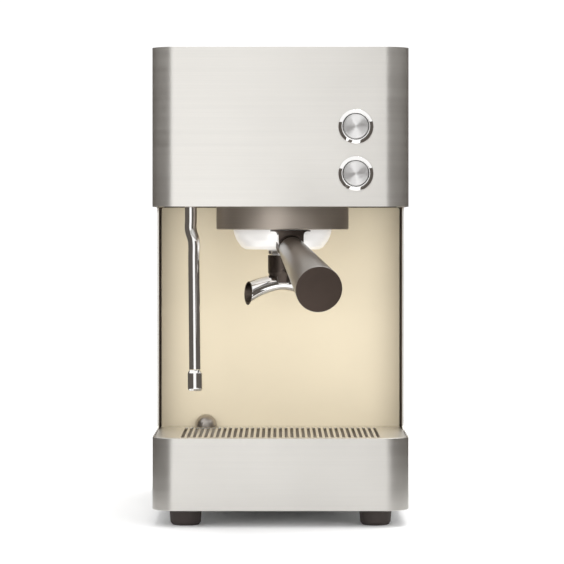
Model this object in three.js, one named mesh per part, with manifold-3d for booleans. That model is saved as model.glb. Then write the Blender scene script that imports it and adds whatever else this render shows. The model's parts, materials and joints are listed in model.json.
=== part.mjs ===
// A compact one-group espresso machine, in millimetres, +Z up, +X to the right as seen from the front.
// Every piece is drawn with y = 0 on the front plane and y growing towards the back. The finished
// group is then moved so that its origin is the centre of its bounding box, at the level of the feet.
import * as THREE from "three";
import { mergeVertices } from "three/addons/utils/BufferGeometryUtils.js";
import Module from "manifold-3d";

// ---- driving dimensions ----
const WIDTH = 190;
const DEPTH = 300;
const HEIGHT = 353.5;
const FOOT_HEIGHT = 12;
const BASE_TOP = 65.5; // top of the drip tray, where the open bay begins
const BAY_TOP = 236; // lower edge of the upper housing
const BAY_DEPTH = 116; // front plane to the splash panel
const PANEL_BOTTOM = 60; // the splash panel reaches down behind the tray's top
const SIDE_CUT_DEPTH = 94; // how far back the bay is open at its sides
const CORNER_RADIUS = 18; // upright front corners
const SHEET = 1.2; // stainless sheet thickness
const GAP = 0.3; // clearance between pieces that meet

const GROUP_X = 1.5; // axis of the brewing group
const GROUP_Y = 58;
const COVER_RADIUS = 50;
const COVER_BOTTOM = 219;
const BOWL_RIM = 231; // top of the portafilter's rim
const BOWL_BOTTOM = 204;
const HANDLE_YAW = 8.8; // degrees that the locked handle stands to the right
const HANDLE_DROOP = 12.5; // degrees that the handle points down
const HANDLE_LENGTH = 123.6;
const HANDLE_START = 45; // from the group's axis to the near end of the grip
const HANDLE_START_Z = 204.3;
const WEB_FRONT = 42; // from the group's axis to the front of the web over the portafilter's neck
const WEB_HALF_WIDTH = 9.6;

const WAND_X = -67.5; // centre of the steam wand's ball joint
const WAND_Y = 50;
const WAND_BALL_Z = 246;
const WAND_BALL_RADIUS = 8;
const WAND_RADIUS = 4.55;

const BUTTON_X = 55.4;
const BUTTON_Z = { coffee: 294.9, steam: 260.3 };
const BEZEL_RADIUS = 13;
const CAP_RADIUS = 9.2;

const TRAY_FRONT_DEPTH = 22.5;
const GRILLE_SLOTS = 35;
const SLOT_PITCH = 4.27;
const SLOT_WIDTH = 2.3;
const SLOT_FRONT = 9;
const SLOT_BACK = 104;
const OUTLET_X = -58; // drain outlet at the foot of the splash panel

const SHELF_SLOTS = { count: 9, front: 50, pitch: 12, width: 4, halfLength: 45 };
const VENTS = { count: 6, bottom: 120, pitch: 14, height: 5, halfLength: 55 };
const CEILING_BACK = 141; // back edge of the plate that closes the bay's top

const TANK_HALF_WIDTH = 60;
const TANK_FRONT = 210;
const TANK_BACK = 296;
const TANK_BOTTOM = 112;
const TANK_TOP = 346;
const TANK_WALL = 2;
const VALVE_Y = 248; // axis of the tank's outlet valve

const PUMP_Y = 162;
const PUMP_Z = 58;
const PIPE_X = 62; // upright run of the pump's delivery pipe
const PIPE_Y = 135;
const HOSE_X = -68; // upright run of the drain hose behind the splash panel
const HOSE_Y = 128;
const OUTLET_NECK_Z = 71;

const INLET = { x: 55, z: 48, halfWidth: 13.5, halfHeight: 9.8 };
const SCREW_X = 86;
const SCREW_Z = [26, 338];
const SCREW_RADIUS = 1.6;

const ROUND = 24; // sides of a large turned piece
const SMALL_ROUND = 12; // sides of a small one

// ---- solids and booleans ----
const wasm = await Module();
wasm.setup();

function solidOf(geometry) {
  const bare = geometry.index ? geometry.toNonIndexed() : geometry.clone();
  bare.deleteAttribute("normal");
  bare.deleteAttribute("uv");
  const merged = mergeVertices(bare, 1e-4);
  const corners = merged.index.array;
  const triangles = [];
  for (let i = 0; i < corners.length; i += 3) {
    const [a, b, c] = corners.slice(i, i + 3);
    if (a !== b && b !== c && c !== a) triangles.push(a, b, c);
  }
  const vertProperties = merged.attributes.position.array;
  const build = (order) =>
    new wasm.Manifold(
      new wasm.Mesh({ numProp: 3, vertProperties, triVerts: new Uint32Array(order) }),
    );
  const solid = build(triangles);
  // A profile drawn the other way round gives a body whose faces point inwards.
  return solid.volume() < 0 ? build(triangles.reverse()) : solid;
}

function geometryOf(solid) {
  const mesh = solid.getMesh();
  const geometry = new THREE.BufferGeometry();
  geometry.setAttribute("position", new THREE.BufferAttribute(mesh.vertProperties, 3));
  geometry.setIndex(new THREE.BufferAttribute(mesh.triVerts, 1));
  geometry.computeVertexNormals();
  return geometry;
}

function combine(first, others, operation) {
  let result = solidOf(first);
  for (const other of others) result = result[operation](solidOf(other));
  return geometryOf(result);
}

const join = (first, ...others) => combine(first, others, "add");
const cut = (first, ...others) => combine(first, others, "subtract");
const common = (first, ...others) => combine(first, others, "intersect");

// ---- shapes ----
function block([x0, x1], [y0, y1], [z0, z1]) {
  const geometry = new THREE.BoxGeometry(x1 - x0, y1 - y0, z1 - z0);
  return geometry.translate((x0 + x1) / 2, (y0 + y1) / 2, (z0 + z1) / 2);
}

// A solid of revolution about +Z. The profile is a list of [radius, height] that ends on the axis.
function turned(profile, sides = ROUND) {
  const points = profile.map(([radius, height]) => new THREE.Vector2(radius, height));
  return new THREE.LatheGeometry(points, sides).rotateX(Math.PI / 2);
}

// The same for a ring, whose profile closes on itself away from the axis.
const turnedRing = (profile, sides = ROUND) => turned([...profile, profile[0]], sides);

// Turns a piece that was drawn along +Z to point along `direction`, and moves it to `origin`.
function aimed(geometry, origin, direction) {
  const turn = new THREE.Quaternion();
  turn.setFromUnitVectors(new THREE.Vector3(0, 0, 1), direction.clone().normalize());
  return geometry.applyQuaternion(turn).translate(origin.x, origin.y, origin.z);
}

function rod(radius, from, to, sides = SMALL_ROUND, endRadius = radius) {
  const start = new THREE.Vector3(...from);
  const along = new THREE.Vector3(...to).sub(start);
  const profile = [
    [0, 0],
    [radius, 0],
    [endRadius, along.length()],
    [0, along.length()],
  ];
  return aimed(turned(profile, sides), start, along);
}

function polygon(points) {
  return new THREE.Shape(points.map(([x, y]) => new THREE.Vector2(x, y)));
}

function circle(radius, sides) {
  const corner = (i) => (2 * Math.PI * i) / sides;
  const points = Array.from({ length: sides }, (_, i) => [
    radius * Math.cos(corner(i)),
    radius * Math.sin(corner(i)),
  ]);
  return polygon(points);
}

function slab(shape, z0, z1) {
  const options = { depth: z1 - z0, bevelEnabled: false, curveSegments: 5 };
  return new THREE.ExtrudeGeometry(shape, options).translate(0, 0, z0);
}

// A shape drawn in (y, z) and extruded across the machine from x0 to x1.
function crossSlab(shape, x0, x1) {
  const axes = new THREE.Matrix4().makeBasis(
    new THREE.Vector3(0, 1, 0),
    new THREE.Vector3(0, 0, 1),
    new THREE.Vector3(1, 0, 0),
  );
  const options = { depth: x1 - x0, bevelEnabled: false, curveSegments: 4 };
  return new THREE.ExtrudeGeometry(shape, options).applyMatrix4(axes).translate(x0, 0, 0);
}

function tube(points, radius, steps, sides = 8) {
  const path = new THREE.CatmullRomCurve3(points.map((point) => new THREE.Vector3(...point)));
  const options = { steps, extrudePath: path, bevelEnabled: false };
  return new THREE.ExtrudeGeometry(circle(radius, sides), options);
}

// The housing's plan, `inset` inside its outer faces: rounded at the two front corners, cut off
// square at y = back.
function frontOutline(inset, back) {
  const side = WIDTH / 2 - inset;
  const radius = CORNER_RADIUS - inset;
  const centre = CORNER_RADIUS;
  const shape = new THREE.Shape();
  shape.moveTo(-side, back);
  shape.lineTo(-side, centre);
  shape.absarc(-WIDTH / 2 + centre, centre, radius, Math.PI, 1.5 * Math.PI, false);
  shape.lineTo(WIDTH / 2 - centre, inset);
  shape.absarc(WIDTH / 2 - centre, centre, radius, 1.5 * Math.PI, 2 * Math.PI, false);
  shape.lineTo(side, back);
  shape.closePath();
  return shape;
}

// ---- materials ----
const finish = (color, roughness, metalness) =>
  new THREE.MeshStandardMaterial({ color, roughness, metalness });
const brushedSteel = finish(0xd9d6d1, 0.38, 1);
const plainSteel = finish(0xb8b6b2, 0.45, 1);
const chrome = finish(0xe6e6e8, 0.08, 1);
const darkSteel = finish(0x6e6660, 0.25, 1);
const creamPaint = finish(0xe8dec8, 0.5, 0);
const blackPlastic = finish(0x2a2624, 0.55, 0);
const blackRubber = finish(0x2d2522, 0.8, 0);
const clearPlastic = finish(0xc9d2d6, 0.15, 0);
const brass = finish(0xb5924c, 0.35, 1);
const copper = finish(0xb0683f, 0.35, 1);
const whiteSilicone = finish(0xdad8d2, 0.6, 0);
const greenBoard = finish(0x2f6b45, 0.5, 0);

const machine = new THREE.Group();

function part(name, geometry, material, group = machine) {
  const mesh = new THREE.Mesh(geometry, material);
  mesh.name = name;
  group.add(mesh);
  return mesh;
}

// ---- housing ----
// The bay as seen from the side, with the drawer's front below it, in (y, z).
function bayProfile() {
  const lowerRadius = 8;
  const upperRadius = 5.5;
  const legStart = TRAY_FRONT_DEPTH + GAP;
  const shape = new THREE.Shape();
  shape.moveTo(-1, FOOT_HEIGHT - 1);
  shape.lineTo(legStart, FOOT_HEIGHT - 1);
  shape.lineTo(legStart, BASE_TOP);
  shape.lineTo(SIDE_CUT_DEPTH - lowerRadius, BASE_TOP);
  const lowerCentre = [SIDE_CUT_DEPTH - lowerRadius, BASE_TOP + lowerRadius];
  shape.absarc(...lowerCentre, lowerRadius, -Math.PI / 2, 0, false);
  shape.lineTo(SIDE_CUT_DEPTH, BAY_TOP - upperRadius);
  const upperCentre = [SIDE_CUT_DEPTH - upperRadius, BAY_TOP - upperRadius];
  shape.absarc(...upperCentre, upperRadius, 0, Math.PI / 2, false);
  shape.lineTo(-1, BAY_TOP);
  shape.closePath();
  return shape;
}

const BUTTON_HOLE_RADIUS = 11.1;

function buttonHole(z) {
  return rod(BUTTON_HOLE_RADIUS, [BUTTON_X, -1, z], [BUTTON_X, 3, z], 20);
}

// One bent sheet: the upper front, its two round corners and both C-shaped sides.
function housingWrap() {
  const outside = slab(frontOutline(0, DEPTH), FOOT_HEIGHT, HEIGHT);
  const inside = slab(frontOutline(SHEET, DEPTH + 1), FOOT_HEIGHT - 1, HEIGHT + 1);
  const flangeWidth = 6;
  const flange = cut(
    slab(frontOutline(0, SIDE_CUT_DEPTH - 8), BAY_TOP, BAY_TOP + SHEET),
    slab(frontOutline(flangeWidth, SIDE_CUT_DEPTH), BAY_TOP - 1, BAY_TOP + SHEET + 1),
  );
  const bay = crossSlab(bayProfile(), -WIDTH, WIDTH);
  const sheet = cut(outside, inside, bay);
  return cut(join(sheet, flange), buttonHole(BUTTON_Z.coffee), buttonHole(BUTTON_Z.steam));
}

const TANK_NOTCH = { halfWidth: TANK_HALF_WIDTH + 4, front: TANK_FRONT - 10 };

// The top is the cup shelf. It has a notch at the back where the water tank lifts out.
function topPanel() {
  const plate = slab(frontOutline(SHEET + GAP, DEPTH - SHEET - GAP), HEIGHT - SHEET, HEIGHT);
  const { halfWidth, front } = TANK_NOTCH;
  const notch = block([-halfWidth, halfWidth], [front, DEPTH], [HEIGHT - 5, HEIGHT + 5]);
  const { count, front: firstSlot, pitch, width, halfLength } = SHELF_SLOTS;
  const slots = Array.from({ length: count }, (_, i) => {
    const y = firstSlot + pitch * i;
    return block([-halfLength, halfLength], [y, y + width], [HEIGHT - 5, HEIGHT + 5]);
  });
  return cut(plate, notch, ...slots);
}

function rearPanel() {
  const half = WIDTH / 2 - SHEET - GAP;
  const plate = block([-half, half], [DEPTH - SHEET, DEPTH], [FOOT_HEIGHT + 2, HEIGHT]);
  const through = [DEPTH - 5, DEPTH + 5];
  const halfHole = INLET.halfWidth + 0.4;
  const holeRise = INLET.halfHeight + 0.4;
  const inletHole = block(
    [INLET.x - halfHole, INLET.x + halfHole],
    through,
    [INLET.z - holeRise, INLET.z + holeRise],
  );
  const vents = Array.from({ length: VENTS.count }, (_, i) => {
    const z = VENTS.bottom + VENTS.pitch * i;
    return block([-VENTS.halfLength, VENTS.halfLength], through, [z, z + VENTS.height]);
  });
  const screwHoles = screwPlaces().map(([x, z]) =>
    rod(SCREW_RADIUS + GAP, [x, through[0], z], [x, through[1], z], 8),
  );
  return cut(plate, inletHole, ...vents, ...screwHoles);
}

function screwPlaces() {
  return SCREW_Z.flatMap((z) => [
    [-SCREW_X, z],
    [SCREW_X, z],
  ]);
}

function rearScrew([x, z]) {
  const headFront = DEPTH + GAP;
  const headRadius = 4;
  const headHeight = 2;
  const shank = rod(SCREW_RADIUS, [x, DEPTH - 8, z], [x, headFront + 1, z], 6);
  const headEnds = [[x, headFront, z], [x, headFront + headHeight, z]];
  const head = rod(headRadius, ...headEnds, SMALL_ROUND, 0.8 * headRadius);
  const recess = block([x - 1.2, x + 1.2], [headFront + 1.2, headFront + 3], [z - 1.2, z + 1.2]);
  return cut(join(head, shank), recess);
}

function buildHousing() {
  const half = WIDTH / 2 - SHEET - GAP;
  part("housing_wrap", housingWrap(), brushedSteel);
  part("top_panel", topPanel(), brushedSteel);
  part("rear_panel", rearPanel(), plainSteel);
  const floorTop = FOOT_HEIGHT + 1.8;
  const floorPlan = frontOutline(SHEET + 2 * GAP, DEPTH - SHEET - GAP);
  part("base_plate", slab(floorPlan, FOOT_HEIGHT + GAP, floorTop), plainSteel);

  const dividerFront = BAY_DEPTH + 2;
  const divider = block(
    [-half, half],
    [dividerFront, dividerFront + SHEET],
    [floorTop + GAP, BAY_TOP + SHEET],
  );
  part("divider_plate", cut(divider, outletNeck(3.2)), plainSteel);

  const panelHalf = half - 0.8;
  const panel = block([-panelHalf, panelHalf], [BAY_DEPTH, BAY_DEPTH + 1.5], [PANEL_BOTTOM, BAY_TOP]);
  part("splash_panel", cut(panel, outletNeck(3.2)), creamPaint);

  const ceilingPlan = frontOutline(SHEET + GAP, CEILING_BACK);
  const ceilingBottom = BAY_TOP + SHEET + GAP;
  const ceiling = slab(ceilingPlan, ceilingBottom, ceilingBottom + 2);
  const hole = (radius, x, y, sides) => rod(radius, [x, y, BAY_TOP], [x, y, BAY_TOP + 8], sides);
  const holes = [
    hole(HEAD_RADIUS + 1, GROUP_X, GROUP_Y, ROUND),
    hole(WAND_NUT_RADIUS + 0.4, WAND_X, WAND_Y, 16),
    hole(4.6, PIPE_X, PIPE_Y, 8),
    hole(4.6, HOSE_X, HOSE_Y, 8),
  ];
  part("bay_ceiling", cut(ceiling, ...holes), plainSteel);
  screwPlaces().forEach((place, i) => part(`rear_screw_${i + 1}`, rearScrew(place), plainSteel));
}

// ---- feet ----
function buildFeet() {
  const footRadius = 12;
  const profile = [
    [0, 0],
    [footRadius - 2.5, 0],
    [footRadius - 0.8, 2],
    [footRadius, FOOT_HEIGHT - GAP],
    [0, FOOT_HEIGHT - GAP],
  ];
  const places = { front: 22, back: DEPTH - 28 };
  for (const [row, y] of Object.entries(places)) {
    for (const [side, x] of [["left", -70.5], ["right", 70.5]]) {
      part(`foot_${row}_${side}`, turned(profile, 16).translate(x, y, 0), blackRubber);
    }
  }
}

// ---- brewing group ----
function aboutGroup(geometry) {
  return geometry.translate(GROUP_X, GROUP_Y, 0);
}

const HEAD_RADIUS = 45;
const HEAD_TOP = 258;
const LUG_HALF_WIDTH = 12;

function groupHead() {
  const body = turned([
    [0, 238.5],
    [37, 238.5],
    [37, 231.8],
    [42.3, 231.8],
    [42.3, 225.5],
    [38.2, 225.5],
    [38.2, 221.5],
    [HEAD_RADIUS, 221.5],
    [HEAD_RADIUS, HEAD_TOP],
    [0, HEAD_TOP],
  ]);
  // The lugs enter where the handle stands 50 degrees before its locked place.
  const entry = block([-42.3, 42.3], [-LUG_HALF_WIDTH - 2, LUG_HALF_WIDTH + 2], [221, 226]);
  entry.rotateZ(THREE.MathUtils.degToRad(HANDLE_YAW - 50));
  const waterWay = rod(3, [0, 0, 235], [0, 0, HEAD_TOP + 1], 12);
  return aboutGroup(cut(body, entry, waterWay));
}

function buildGroup() {
  const cover = turnedRing(
    [
      [39.5, COVER_BOTTOM],
      [COVER_RADIUS - 0.8, COVER_BOTTOM],
      [COVER_RADIUS, COVER_BOTTOM + 0.8],
      [COVER_RADIUS, BAY_TOP + SHEET],
      [COVER_RADIUS - 1.5, BAY_TOP + SHEET],
      [COVER_RADIUS - 1.5, COVER_BOTTOM + 1.5],
      [39.5, COVER_BOTTOM + 1.5],
    ],
    32,
  );
  part("group_cover", aboutGroup(cover), darkSteel);
  part("group_head", groupHead(), chrome);
  const gasket = turnedRing([
    [29.4, 232.4],
    [36.6, 232.4],
    [36.6, 238.2],
    [29.4, 238.2],
  ]);
  part("group_gasket", aboutGroup(gasket), blackRubber);
  const screen = turnedRing([
    [3, 234],
    [26, 234],
    [28.8, 235.4],
    [28.8, 238.2],
    [3, 238.2],
  ]);
  part("shower_screen", aboutGroup(screen), plainSteel);
}

// ---- portafilter ----
// Drawn about the group's axis with the handle along -Y, then turned to its locked place.
const droop = THREE.MathUtils.degToRad(HANDLE_DROOP);
const handleAxis = new THREE.Vector3(0, -Math.cos(droop), -Math.sin(droop));
const handleOrigin = new THREE.Vector3(0, -HANDLE_START, HANDLE_START_Z);

function onHandle(distance) {
  return handleOrigin.clone().addScaledVector(handleAxis, distance).toArray();
}

const STUD_RADIUS = 4;
const STUD_ENDS = [-10, 60];
const studHole = () =>
  rod(STUD_RADIUS + 2 * GAP, onHandle(STUD_ENDS[0] - GAP), onHandle(STUD_ENDS[1] + GAP), 8);

function portafilterBody() {
  const outside = turned([
    [0, 198],
    [8, 198],
    [8, BOWL_BOTTOM],
    [27.5, BOWL_BOTTOM],
    [30.5, 205.2],
    [34, 210.5],
    [36.3, 215],
    [37.3, 219],
    [37.3, 225],
    [36, 226],
    [36, BOWL_RIM],
    [0, BOWL_RIM],
  ]);
  const lugs = common(
    block([-50, 50], [-LUG_HALF_WIDTH, LUG_HALF_WIDTH], [226, 229.5]),
    rod(41.5, [0, 0, 220], [0, 0, 235], ROUND),
  );
  const neck = rod(9.4, onHandle(-13), onHandle(-GAP), 16);
  const web = block(
    [-WEB_HALF_WIDTH, WEB_HALF_WIDTH],
    [-WEB_FRONT, -33],
    [HANDLE_START_Z, COVER_BOTTOM - 0.6],
  );
  const inside = turned([
    [0, 207.5],
    [27, 207.5],
    [31, 212],
    [31, 232],
    [0, 232],
  ]);
  const outlet = rod(5, [0, 0, 190], [0, 0, 210]);
  return cut(join(outside, lugs, neck, web), inside, outlet, studHole());
}

function handleGrip() {
  const bar = turned([
    [0, 0],
    [10, 0],
    [16.5, HANDLE_LENGTH - 0.6],
    [15.9, HANDLE_LENGTH],
    [0, HANDLE_LENGTH],
  ]);
  return cut(aimed(bar, handleOrigin, handleAxis), studHole());
}

function filterBasket() {
  return turned([
    [0, 213],
    [25, 213],
    [29.8, 217],
    [29.8, BOWL_RIM + GAP],
    [35.5, BOWL_RIM + GAP],
    [35.5, BOWL_RIM + GAP + 0.8],
    [29, BOWL_RIM + GAP + 0.8],
    [29, 217.5],
    [24.5, 213.8],
    [0, 213.8],
  ]);
}

const SPOUT_HALF_SPAN = 27;

// Two arms that leave a stem and arch down to open ends.
function doubleSpout() {
  const arch = [
    [-32, 0, 165.5],
    [-22, 0, 173.6],
    [-11, 0, 178],
    [0, 0, 179.2],
    [11, 0, 178],
    [22, 0, 173.6],
    [32, 0, 165.5],
  ];
  const arms = common(
    tube(arch, 7.2, 12, 12),
    block([-SPOUT_HALF_SPAN, SPOUT_HALF_SPAN], [-20, 20], [140, 200]),
  );
  const stem = rod(11, [0, 0, 180], [0, 0, 200], 16);
  const bore = rod(4.6, [0, 0, 178], [0, 0, 196], 8);
  const socket = rod(8.3, [0, 0, 195], [0, 0, 201], SMALL_ROUND);
  return cut(join(arms, stem), tube(arch, 5.8, 12, 10), bore, socket);
}

function buildPortafilter() {
  const portafilter = new THREE.Group();
  portafilter.position.set(GROUP_X, GROUP_Y, 0);
  portafilter.rotation.z = THREE.MathUtils.degToRad(HANDLE_YAW);
  machine.add(portafilter);
  part("portafilter_body", portafilterBody(), chrome, portafilter);
  part("filter_basket", filterBasket(), plainSteel, portafilter);
  const lockNut = turnedRing(
    [
      [8.3, 200.3],
      [11.6, 200.3],
      [11.6, BOWL_BOTTOM - GAP],
      [8.3, BOWL_BOTTOM - GAP],
    ],
    24,
  );
  part("spout_lock_nut", lockNut, chrome, portafilter);
  part("double_spout", doubleSpout(), chrome, portafilter);
  const stud = rod(STUD_RADIUS, onHandle(STUD_ENDS[0]), onHandle(STUD_ENDS[1]), 8);
  part("handle_stud", stud, plainSteel, portafilter);
  part("handle_grip", handleGrip(), blackPlastic, portafilter);
}

// ---- push buttons ----
function buildButton(name, z) {
  const at = new THREE.Vector3(BUTTON_X, 0, z);
  const inwards = new THREE.Vector3(0, 1, 0);
  const place = (geometry) => aimed(geometry, at, inwards);
  const bezel = turnedRing(
    [
      [9.6, -2.4],
      [10.3, -2.6],
      [BEZEL_RADIUS - 0.2, -1],
      [BEZEL_RADIUS, -GAP],
      [10.8, -GAP],
      [10.8, 20],
      [9.6, 20],
    ],
    20,
  );
  part(`${name}_button_bezel`, place(bezel), chrome);
  const cap = turned(
    [
      [0, -1.9],
      [CAP_RADIUS - 0.6, -2.2],
      [CAP_RADIUS, -1.7],
      [CAP_RADIUS, 7],
      [0, 7],
    ],
    20,
  );
  part(`${name}_button_cap`, place(cap), chrome);
  const nut = turnedRing(
    [
      [BUTTON_HOLE_RADIUS, SHEET + GAP],
      [14.6, SHEET + GAP],
      [14.6, 5],
      [BUTTON_HOLE_RADIUS, 5],
    ],
    6,
  );
  const nutBore = rod(BUTTON_HOLE_RADIUS, [BUTTON_X, 0, z], [BUTTON_X, 9, z], 16);
  part(`${name}_button_nut`, cut(place(nut), nutBore), plainSteel);
  const body = turned(
    [
      [0, 11.5],
      [9, 11.5],
      [9, 20.5],
      [10.5, 20.5],
      [10.5, 34],
      [0, 34],
    ],
    SMALL_ROUND,
  );
  const contacts = [-4, 4].map((x) => {
    const contact = block([x - 0.5, x + 0.5], [33, 39], [-2, 2]);
    return contact.translate(BUTTON_X, 0, z);
  });
  part(`${name}_switch`, join(place(body), ...contacts), blackPlastic);
}

// ---- steam wand ----
const WAND_NUT_RADIUS = 12;
const WAND_NUT_BOTTOM = 236.6;
const WAND_SHOULDER_Z = 234; // top of the full tube, under its thinner neck

function wandNut() {
  const openRadius = 7;
  const cavity = WAND_BALL_RADIUS + GAP;
  const lipDrop = Math.sqrt(cavity ** 2 - openRadius ** 2);
  const ball = new THREE.SphereGeometry(cavity, 16, 10).translate(0, 0, WAND_BALL_Z);
  const body = turned(
    [
      [0, WAND_NUT_BOTTOM],
      [WAND_NUT_RADIUS - 1, WAND_NUT_BOTTOM],
      [WAND_NUT_RADIUS, WAND_NUT_BOTTOM + 1],
      [WAND_NUT_RADIUS, 256.5],
      [0, 256.5],
    ],
    16,
  );
  const flare = turned(
    [
      [0, 230],
      [10.5, 230],
      [10.5, WAND_NUT_BOTTOM],
      [openRadius, WAND_BALL_Z - lipDrop + 0.2],
      [0, WAND_BALL_Z - lipDrop + 0.2],
    ],
    16,
  );
  const inlet = rod(2.5, [0, 0, WAND_BALL_Z], [0, 0, 258], 8);
  return cut(body, flare, ball, inlet).translate(WAND_X, WAND_Y, 0);
}

const WAND_BEND = [-65.1, 47.6, 209.5]; // where the upright stub turns into the long straight tube
const WAND_END = [-63.9, 38, 114];

function wandTube() {
  const top = WAND_BALL_Z - WAND_BALL_RADIUS - 0.5;
  const neck = rod(3.5, [WAND_X, WAND_Y, 232], [WAND_X, WAND_Y, top], 8);
  const route = [
    [WAND_X, WAND_Y, WAND_SHOULDER_Z],
    [WAND_X, WAND_Y, 226],
    [WAND_X, WAND_Y - 0.2, 218],
    WAND_BEND,
    ...alongWand([0.15, 0.4, 0.7, 1]),
  ];
  return join(tube(route, WAND_RADIUS, 18, 12), neck);
}

function alongWand(shares) {
  const bend = new THREE.Vector3(...WAND_BEND);
  const end = new THREE.Vector3(...WAND_END);
  return shares.map((share) => bend.clone().lerp(end, share).toArray());
}

function wandTip() {
  const direction = new THREE.Vector3(...WAND_END).sub(new THREE.Vector3(...WAND_BEND)).normalize();
  const origin = new THREE.Vector3(...WAND_END).addScaledVector(direction, GAP);
  const tip = turned(
    [
      [0, 0],
      [4.6, 0],
      [5.7, 2.2],
      [5.7, 13.4],
      [4.2, 15.4],
      [0, 15.8],
    ],
    16,
  );
  return aimed(tip, origin, direction);
}

function buildWand() {
  part("wand_nut", wandNut(), chrome);
  const ball = new THREE.SphereGeometry(WAND_BALL_RADIUS, 16, 10);
  part("wand_ball", ball.translate(WAND_X, WAND_Y, WAND_BALL_Z), chrome);
  part("wand_tube", wandTube(), chrome);
  part("wand_tip", wandTip(), chrome);
}

// ---- drip tray ----
function trayFront() {
  const outside = slab(frontOutline(0, TRAY_FRONT_DEPTH), FOOT_HEIGHT, BASE_TOP);
  const inside = slab(frontOutline(SHEET, TRAY_FRONT_DEPTH + 1), FOOT_HEIGHT - 1, BASE_TOP + 1);
  return cut(outside, inside);
}

function trayPan() {
  const wall = 1.5;
  const panSide = 90;
  const [front, back] = [4, 112];
  const [bottom, top] = [16, 63];
  const corner = 20 - wall;
  const chamfered = (inset) =>
    polygon([
      [-panSide + inset, back - inset],
      [-panSide + inset, front + corner],
      [-panSide + corner, front + inset],
      [panSide - corner, front + inset],
      [panSide - inset, front + corner],
      [panSide - inset, back - inset],
    ]);
  return cut(slab(chamfered(0), bottom, top), slab(chamfered(wall), bottom + wall, top + 1));
}

function dripGrille() {
  const plate = slab(frontOutline(SHEET + GAP, BAY_DEPTH - 1.5), BASE_TOP - SHEET, BASE_TOP);
  const slots = Array.from({ length: GRILLE_SLOTS }, (_, i) => {
    const x = (i - (GRILLE_SLOTS - 1) / 2) * SLOT_PITCH;
    const across = [x - SLOT_WIDTH / 2, x + SLOT_WIDTH / 2];
    return block(across, [SLOT_FRONT, SLOT_BACK], [BASE_TOP - 5, BASE_TOP + 5]);
  });
  const outletNotch = block([OUTLET_X - 10, OUTLET_X + 10], [SLOT_BACK + 1, BAY_DEPTH], [60, 70]);
  return cut(plate, outletNotch, ...slots);
}

function outletNeck(radius) {
  return rod(radius, [OUTLET_X, 110, OUTLET_NECK_Z], [OUTLET_X, HOSE_Y - 5, OUTLET_NECK_Z], 8);
}

// A half dome on the splash panel that lets the drained water fall into the tray.
function drainOutlet() {
  const radius = 8.2;
  const nose = 9;
  const dome = turned(
    [
      [0, 0],
      [3.2, 0.5],
      [6.2, 2.6],
      [7.8, 5.6],
      [radius, nose],
      [0, nose],
    ],
    16,
  );
  const front = new THREE.Vector3(OUTLET_X, BAY_DEPTH - GAP - nose, 67);
  const placed = aimed(dome, front, new THREE.Vector3(0, 1, 0));
  const upper = block([OUTLET_X - 20, OUTLET_X + 20], [90, 120], [BASE_TOP + GAP, 90]);
  const mouth = rod(2.2, [OUTLET_X, 112, 60], [OUTLET_X, 112, OUTLET_NECK_Z], 12);
  return cut(join(common(placed, upper), outletNeck(2.9)), mouth);
}

function buildTray() {
  part("tray_front", trayFront(), brushedSteel);
  part("tray_pan", trayPan(), plainSteel);
  part("drip_grille", dripGrille(), brushedSteel);
  part("drain_outlet", drainOutlet(), chrome);
}

// ---- water tank ----
const LID_HINGE = { y: 294, z: 351, halfWidth: 20 };
const PIN_RADIUS = 1.2;

function hingeBore() {
  const { y, z } = LID_HINGE;
  return rod(PIN_RADIUS + 1.3 * GAP, [-40, y, z], [40, y, z], 8);
}

function waterTank() {
  const half = TANK_HALF_WIDTH;
  const wall = TANK_WALL;
  const outside = block([-half, half], [TANK_FRONT, TANK_BACK], [TANK_BOTTOM, TANK_TOP]);
  const inside = block(
    [-half + wall, half - wall],
    [TANK_FRONT + wall, TANK_BACK - wall],
    [TANK_BOTTOM + wall, TANK_TOP + 1],
  );
  const valveHole = rod(5.3, [0, VALVE_Y, TANK_BOTTOM - 1], [0, VALVE_Y, TANK_BOTTOM + 5]);
  const ears = [-1, 1].map((side) => {
    const x = [21, 25].map((distance) => side * distance).sort((a, b) => a - b);
    return block(x, [LID_HINGE.y - 2.4, TANK_BACK], [TANK_TOP - 6, LID_HINGE.z + 2]);
  });
  return cut(join(cut(outside, inside, valveHole), ...ears), hingeBore());
}

function tankLid() {
  const { y, z, halfWidth } = LID_HINGE;
  const lidHalf = TANK_NOTCH.halfWidth - 1;
  const plate = block([-lidHalf, lidHalf], [TANK_NOTCH.front + 1, 290.5], [HEIGHT - 2, HEIGHT]);
  const tongue = block([-halfWidth, halfWidth], [288, y], [HEIGHT - 2, HEIGHT]);
  const barrel = rod(2.2, [-halfWidth, y, z], [halfWidth, y, z], SMALL_ROUND);
  const fingerHole = rod(11, [0, 222, HEIGHT - 5], [0, 222, HEIGHT + 5], 16);
  return cut(join(plate, tongue, barrel), hingeBore(), fingerHole);
}

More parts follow.
